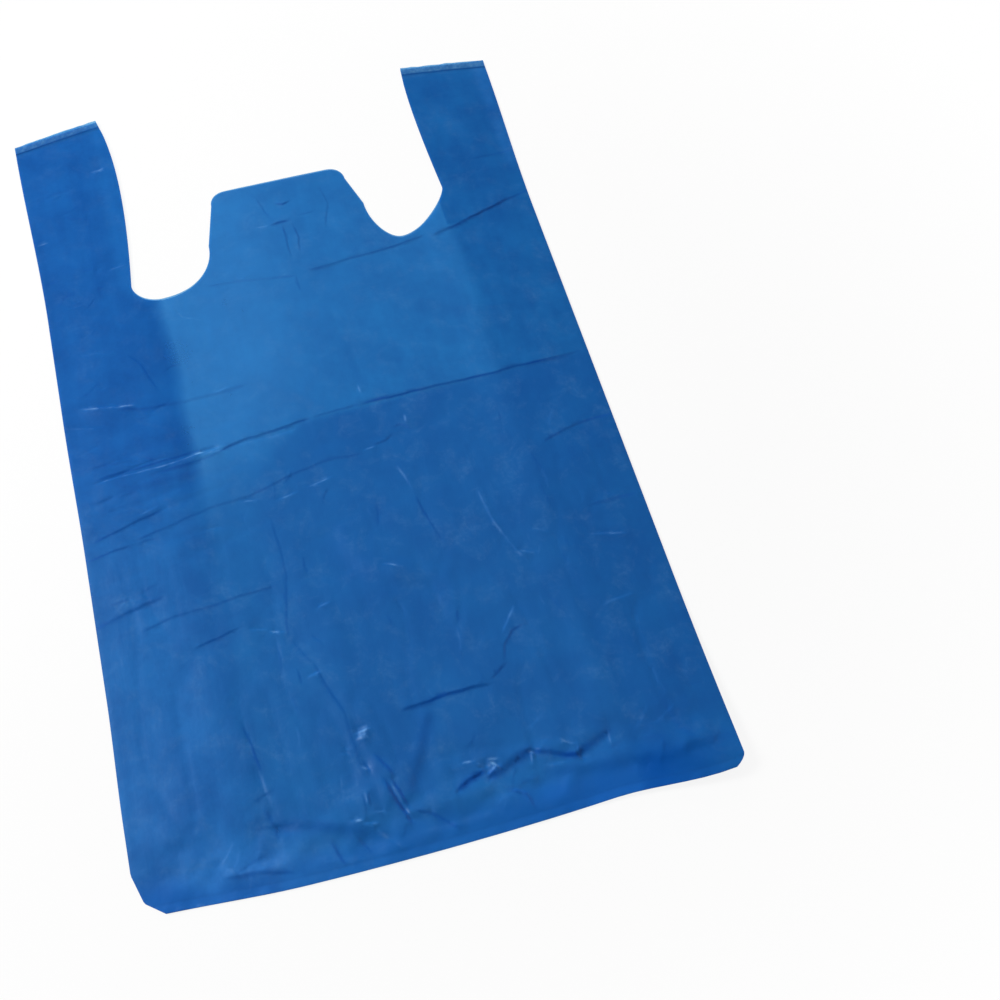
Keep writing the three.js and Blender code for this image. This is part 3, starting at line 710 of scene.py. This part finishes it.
def fold_line(starts, ends, fold, top):
    """Where a gusset's winding inner fold crosses each row, from its straight place at the top row."""
    line = []
    highest = starts[-1].y
    for start, end in zip(starts, ends):
        winding = fold + 0.9 * math.sin(start.y / 21) + 0.5 * math.sin(start.y / 8.3 + 1)
        x = top + (winding - top) * float(ramp(start.y, highest, highest - FOLD_BEND))
        line.append(start.lerp(end, (x - start.x) / (end.x - start.x)))
    return line


film_tube = bmesh.new()
for layer, step in ((FRONT, FINE_STEP), (BACK, COARSE_STEP)):
    left_part = even(-HALF_WIDTH, LEFT_FLOOR.x, step)
    middle_part = even(LEFT_FLOOR.x, RIGHT_FLOOR.x, step)
    right_part = even(RIGHT_FLOOR.x, HALF_WIDTH, step)
    across = shares_of(left_part + middle_part[1:] + right_part[1:])
    film_sheet(layer, left_body, right_body, across, ("left", "right"))
    film_sheet(layer, left_outer, left_inner, shares_of(left_part), ("left",))
    film_sheet(layer, left_tab, right_tab, shares_of(middle_part), ())
    film_sheet(layer, right_inner, right_outer, shares_of(right_part), ("right",))
left_body_fold = fold_line(left_body, right_body, LEFT_FOLD, LEFT_FLOOR.x)
right_body_fold = fold_line(left_body, right_body, RIGHT_FOLD, RIGHT_FOLD)
right_handle_fold = []
for start, end in zip(right_inner, right_outer):
    right_handle_fold.append(start.lerp(end, max(0.0, (RIGHT_FOLD - start.x) / (end.x - start.x))))
left_gusset = shares_of(even(-HALF_WIDTH, LEFT_FOLD, COARSE_STEP))
right_gusset = shares_of(even(RIGHT_FOLD, HALF_WIDTH, COARSE_STEP))
for layer in (LOWER, UPPER):
    film_sheet(layer, left_body, left_body_fold, left_gusset, ("left",), left_body_fold)
    cut = left_inner if layer == LOWER else inset_edge(left_inner, LEFT_FLOOR)
    film_sheet(layer, left_outer, cut, left_gusset, ("left",), cut if layer == UPPER else None)
    film_sheet(layer, right_body_fold, right_body, right_gusset, ("right",), right_body_fold)
    film_sheet(layer, right_handle_fold, right_outer, right_gusset, ("right",))
bmesh.ops.remove_doubles(film_tube, verts=film_tube.verts, dist=0.01 * MM)
mesh = bpy.data.meshes.new("carrier_bag")
film_tube.to_mesh(mesh)
film_tube.free()
mesh.shade_smooth()
mesh.set_sharp_from_angle(angle=math.radians(70))
bag = bpy.data.objects.new("carrier_bag", mesh)
bpy.context.scene.collection.objects.link(bag)


class Wire:
    """A shader socket. Sums and products of wires add Math nodes to their tree."""

    def __init__(self, tree, socket):
        self.tree = tree
        self.socket = socket

    @classmethod
    def node(cls, tree, kind, settings, inputs, output=0):
        made = tree.nodes.new(kind)
        for name, value in settings.items():
            setattr(made, name, value)
        for name, value in inputs.items():
            if isinstance(value, Wire):
                tree.links.new(value.socket, made.inputs[name])
            else:
                made.inputs[name].default_value = value
        return cls(tree, made.outputs[output]) if made.outputs else None

    def math(self, operation, first, second):
        return Wire.node(self.tree, "ShaderNodeMath", {"operation": operation}, {0: first, 1: second})

    def __add__(self, other):
        return self.math("ADD", self, other)

    __radd__ = __add__

    def __mul__(self, other):
        return self.math("MULTIPLY", self, other)

    __rmul__ = __mul__

    def __sub__(self, other):
        return self.math("SUBTRACT", self, other)

    def __rsub__(self, other):
        return self.math("SUBTRACT", other, self)


def empty_tree(owner):
    owner.use_nodes = True
    owner.node_tree.nodes.clear()
    return owner.node_tree


def mixed(tree, share, first, second):
    return Wire.node(tree, "ShaderNodeMix", {"data_type": "RGBA"}, {0: share, 6: first, 7: second}, 2)


FILM_DEEP = (0.0120, 0.177, 0.527, 1)  # plain film
FILM_HAZE = (0.0025, 0.074, 0.340, 1)
# painted light, where the left lamp falls on the film
FILM_PAINTED_LIGHT = (0.0380, 0.270, 0.790, 1)
# unworn film, with painted shade where its bottom roll faces away from the lamps
FILM_CLEAN_AND_SHADED = (0.0005, 0.118, 0.530, 1)
# painted shade in a dark crease, partly the film lying doubled there
FILM_FOLD_SHADE = (0.0002, 0.070, 0.420, 1)  # a dark crease
# painted highlight, glints along a light crease, partly stressed film whitening
FILM_PALE_GLINT = (0.2200, 0.500, 0.920, 1)  # a light crease
FILM_WELD = (0.0010, 0.060, 0.260, 1)
# paler loose layers, with painted highlights on their crinkles
FILM_SKIRT_SHEEN = (0.10, 0.32, 0.63, 1)  # past the weld of a handle's top
FILM_SCUFF = (0.10, 0.28, 0.58, 1)
FILM_GLOSS = (0.60, 0.82, 1, 1)
SEEN_THROUGH = (0.30, 0.66, 0.946, 1)
THIN_OPACITY = 0.50
DENSE_OPACITY = 0.75

film = bpy.data.materials.new("blue_film")
tree = empty_tree(film)
place = Wire.node(tree, "ShaderNodeTexCoord", {}, {}, "Object")
marks = {
    name: Wire.node(tree, "ShaderNodeAttribute", {"attribute_name": name}, {}, "Fac")
    for name in ("weld", "skirt", "fold", "pale", "thin", "haze", "bright", "clean_and_shaded", "inner")
}

# Clouds and streaks in the film, its fine crinkle, and worn patches made of specks
cloud = Wire.node(
    tree, "ShaderNodeTexNoise", {},
    {"Vector": place, "Scale": 32, "Detail": 5, "Roughness": 0.68}, "Fac",
)
stretched = Wire.node(tree, "ShaderNodeMapping", {}, {"Vector": place, "Scale": (220, 28, 1)})
streak = Wire.node(tree, "ShaderNodeTexNoise", {}, {"Vector": stretched, "Scale": 1, "Detail": 2}, "Fac")
crinkle = Wire.node(
    tree, "ShaderNodeTexNoise", {},
    {"Vector": place, "Scale": 260, "Detail": 3, "Distortion": 0.6}, "Fac",
)
mottle = Wire.node(
    tree, "ShaderNodeMapRange", {},
    {"Value": 0.85 * cloud + 0.15 * streak, "From Min": 0.36, "From Max": 0.64},
)
patch = Wire.node(
    tree, "ShaderNodeTexNoise", {},
    {"Vector": place, "Scale": 75, "Detail": 5, "Roughness": 0.65, "Distortion": 0.5}, "Fac",
)
grain = Wire.node(tree, "ShaderNodeTexNoise", {}, {"Vector": place, "Scale": 520, "Detail": 3}, "Fac")
worn = Wire.node(tree, "ShaderNodeMapRange", {}, {"Value": patch, "From Min": 0.50, "From Max": 0.70})
speck = Wire.node(tree, "ShaderNodeMapRange", {}, {"Value": grain, "From Min": 0.42, "From Max": 0.68})
scuff = worn * (0.35 + 0.65 * speck)

# One colour over another, from the plain film to its creases and welds
# Strength of the painted shade along dark creases, which also makes the film denser there
crease = 1.2 * marks["fold"]
hazy = marks["haze"] * (0.46 - 0.28 * mottle) + 0.50 * mottle
# Painted light from the left lamp, at the bottom left and up the left side
tint = mixed(tree, marks["bright"], FILM_DEEP, FILM_PAINTED_LIGHT)
tint = mixed(tree, hazy, tint, FILM_HAZE)
tint = mixed(tree, 0.22 * scuff, tint, FILM_SCUFF)
# Unworn film along the bottom, with painted shade on its roll
tint = mixed(tree, marks["clean_and_shaded"], tint, FILM_CLEAN_AND_SHADED)
# Painted highlights, glints along the light creases, partly the whitening of stressed film
tint = mixed(tree, marks["pale"], tint, FILM_PALE_GLINT)
# Paler loose layers past a handle's weld, with painted highlights on their crinkles
tint = mixed(tree, marks["skirt"] * (0.40 + 0.60 * speck), tint, FILM_SKIRT_SHEEN)
# Painted shade in the dark creases, partly the film lying doubled
tint = mixed(tree, crease, tint, FILM_FOLD_SHADE)
colour = mixed(tree, marks["weld"], tint, FILM_WELD)
bump = Wire.node(
    tree, "ShaderNodeBump", {},
    {"Height": 0.55 * crinkle + 0.45 * streak, "Strength": 0.18, "Distance": 0.001},
)
surface = Wire.node(
    tree, "ShaderNodeBsdfPrincipled", {},
    {
        "Base Color": colour,
        "Roughness": 0.34 + 0.12 * cloud + 0.2 * scuff,
        "IOR": 1.35,
        "Specular Tint": FILM_GLOSS,
        "Normal": bump,
    },
)

# The film is see-through where it is thin, and the inner folds of the gussets are blurred behind it
dark = Wire.node(tree, "ShaderNodeMath", {"operation": "MAXIMUM"}, {0: marks["weld"], 1: crease})
clear = Wire.node(tree, "ShaderNodeBsdfTransparent", {}, {"Color": SEEN_THROUGH})
thinned = DENSE_OPACITY - (DENSE_OPACITY - THIN_OPACITY) * marks["thin"]
opacity = thinned + 0.1 * marks["haze"] + 0.2 * dark
body = Wire.node(tree, "ShaderNodeMixShader", {}, {0: opacity, 1: clear, 2: surface})
nothing = Wire.node(tree, "ShaderNodeBsdfTransparent", {}, {"Color": (1, 1, 1, 1)})
blurred = Wire.node(tree, "ShaderNodeMixShader", {}, {0: 0.95 * marks["inner"], 1: body, 2: nothing})
Wire.node(tree, "ShaderNodeOutputMaterial", {}, {"Surface": blurred})
mesh.materials.append(film)

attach(bag, "root")
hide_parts("bag_film")


# The table
# A plain white table top that sweeps up into a backdrop far behind. It stays white and keeps the bag's
# shadow.

FLOOR_RADIUS = 6
NEAR_RADIUS = 0.5  # of the inner ring of faces, under the bag
SWEEP = 1.2  # radius of the bend from the top into the backdrop
SWEEP_STEPS = 12
AROUND = 96
WALL_TOP = 3
bm = bmesh.new()
profile = [Vector((0, 0, 0)), Vector((NEAR_RADIUS, 0, 0)), Vector((FLOOR_RADIUS - SWEEP, 0, 0))]
for i in range(1, SWEEP_STEPS + 1):
    turn = math.radians(90 * i / SWEEP_STEPS)
    outwards = FLOOR_RADIUS - SWEEP + SWEEP * math.sin(turn)
    profile.append(Vector((outwards, 0, SWEEP - SWEEP * math.cos(turn))))
profile.append(Vector((FLOOR_RADIUS, 0, WALL_TOP)))
verts = [bm.verts.new(p) for p in profile]
edges = [bm.edges.new(pair) for pair in zip(verts, verts[1:])]
bmesh.ops.spin(
    bm, geom=verts + edges, cent=(0, 0, 0), axis=(0, 0, 1), angle=math.tau, steps=AROUND, use_merge=True,
)
bmesh.ops.remove_doubles(bm, verts=bm.verts, dist=0.0001)
bmesh.ops.recalc_face_normals(bm, faces=bm.faces)
mesh = bpy.data.meshes.new("table")
bm.to_mesh(mesh)
bm.free()
mesh.shade_smooth()
table = bpy.data.objects.new("table", mesh)
bpy.context.scene.collection.objects.link(table)

# To the camera and in reflections it glows white, a little less so under and beside the bag
white = bpy.data.materials.new("white_table")
tree = empty_tree(white)
seen = sum(
    Wire.node(tree, "ShaderNodeLightPath", {}, {}, name)
    for name in ("Is Camera Ray", "Is Glossy Ray", "Is Transmission Ray")
)
place = Wire.node(tree, "ShaderNodeTexCoord", {}, {}, "Object")
reach = Wire.node(tree, "ShaderNodeVectorMath", {"operation": "LENGTH"}, {0: place}, "Value")
far = Wire.node(
    tree, "ShaderNodeMapRange", {}, {"Value": reach, "From Min": 0.2, "From Max": 0.42, "To Min": 0.85},
)
matt = Wire.node(tree, "ShaderNodeBsdfDiffuse", {}, {"Color": (0.95, 0.95, 0.95, 1)})
glow = Wire.node(tree, "ShaderNodeEmission", {}, {"Color": (1, 1, 1, 1), "Strength": 1})
top = Wire.node(tree, "ShaderNodeMixShader", {}, {0: far * seen, 1: matt, 2: glow})
Wire.node(tree, "ShaderNodeOutputMaterial", {}, {"Surface": top})
mesh.materials.append(white)


# Light
# A dim even room with a pale ceiling, a large soft lamp behind the bag on the left, a weak one on the
# right and a low one behind, which lights the creases but isn't seen in the film's gloss.

world = bpy.data.worlds.new("room")
bpy.context.scene.world = world
tree = empty_tree(world)
room = Wire.node(tree, "ShaderNodeBackground", {}, {"Color": (1, 1, 1, 1), "Strength": 0.15})
Wire.node(tree, "ShaderNodeOutputWorld", {}, {"Surface": room})


def soft_lamp(name, place, size, power, mirrored=True):
    """A square lamp that faces the bag, and is seen in glossy surfaces if it is mirrored."""
    lamp = bpy.data.lights.new(name, "AREA")
    lamp.size = size
    lamp.energy = power
    holder = bpy.data.objects.new(name, lamp)
    holder.location = place
    holder.rotation_euler = (-Vector(place)).to_track_quat("-Z", "Y").to_euler()
    holder.visible_camera = False
    holder.visible_glossy = mirrored
    bpy.context.scene.collection.objects.link(holder)


soft_lamp("left_lamp", place=(-1.25, 0.62, 1.05), size=0.6, power=30)
soft_lamp("back_lamp", place=(0.2, 1.7, 0.45), size=0.6, power=9, mirrored=False)
soft_lamp("ceiling", place=(0, 0.5, 1.7), size=1.2, power=1.8)
soft_lamp("right_lamp", place=(1.2, 0.1, 1.1), size=0.8, power=3)


# Camera
# It stands where the picture was taken from, just past the bag's bottom end, and looks down on the bag.

CAMERA_PLACE = Vector((-0.0201, -0.3721, 0.5667))
HEADING = math.radians(15.758)
PITCH = math.radians(61.075)
LENS = 48.79

camera = bpy.data.cameras.new("camera")
camera.lens = LENS
camera.sensor_width = 36
camera.clip_start = 0.01
viewer = bpy.data.objects.new("camera", camera)
ahead = Vector((
    math.cos(PITCH) * math.sin(HEADING), math.cos(PITCH) * math.cos(HEADING), -math.sin(PITCH),
))
viewer.location = CAMERA_PLACE
viewer.rotation_euler = ahead.to_track_quat("-Z", "Y").to_euler()
bpy.context.scene.collection.objects.link(viewer)
bpy.context.scene.camera = viewer
bpy.context.scene.view_settings.view_transform = "Standard"
bpy.context.scene.cycles.transparent_max_bounces = 24
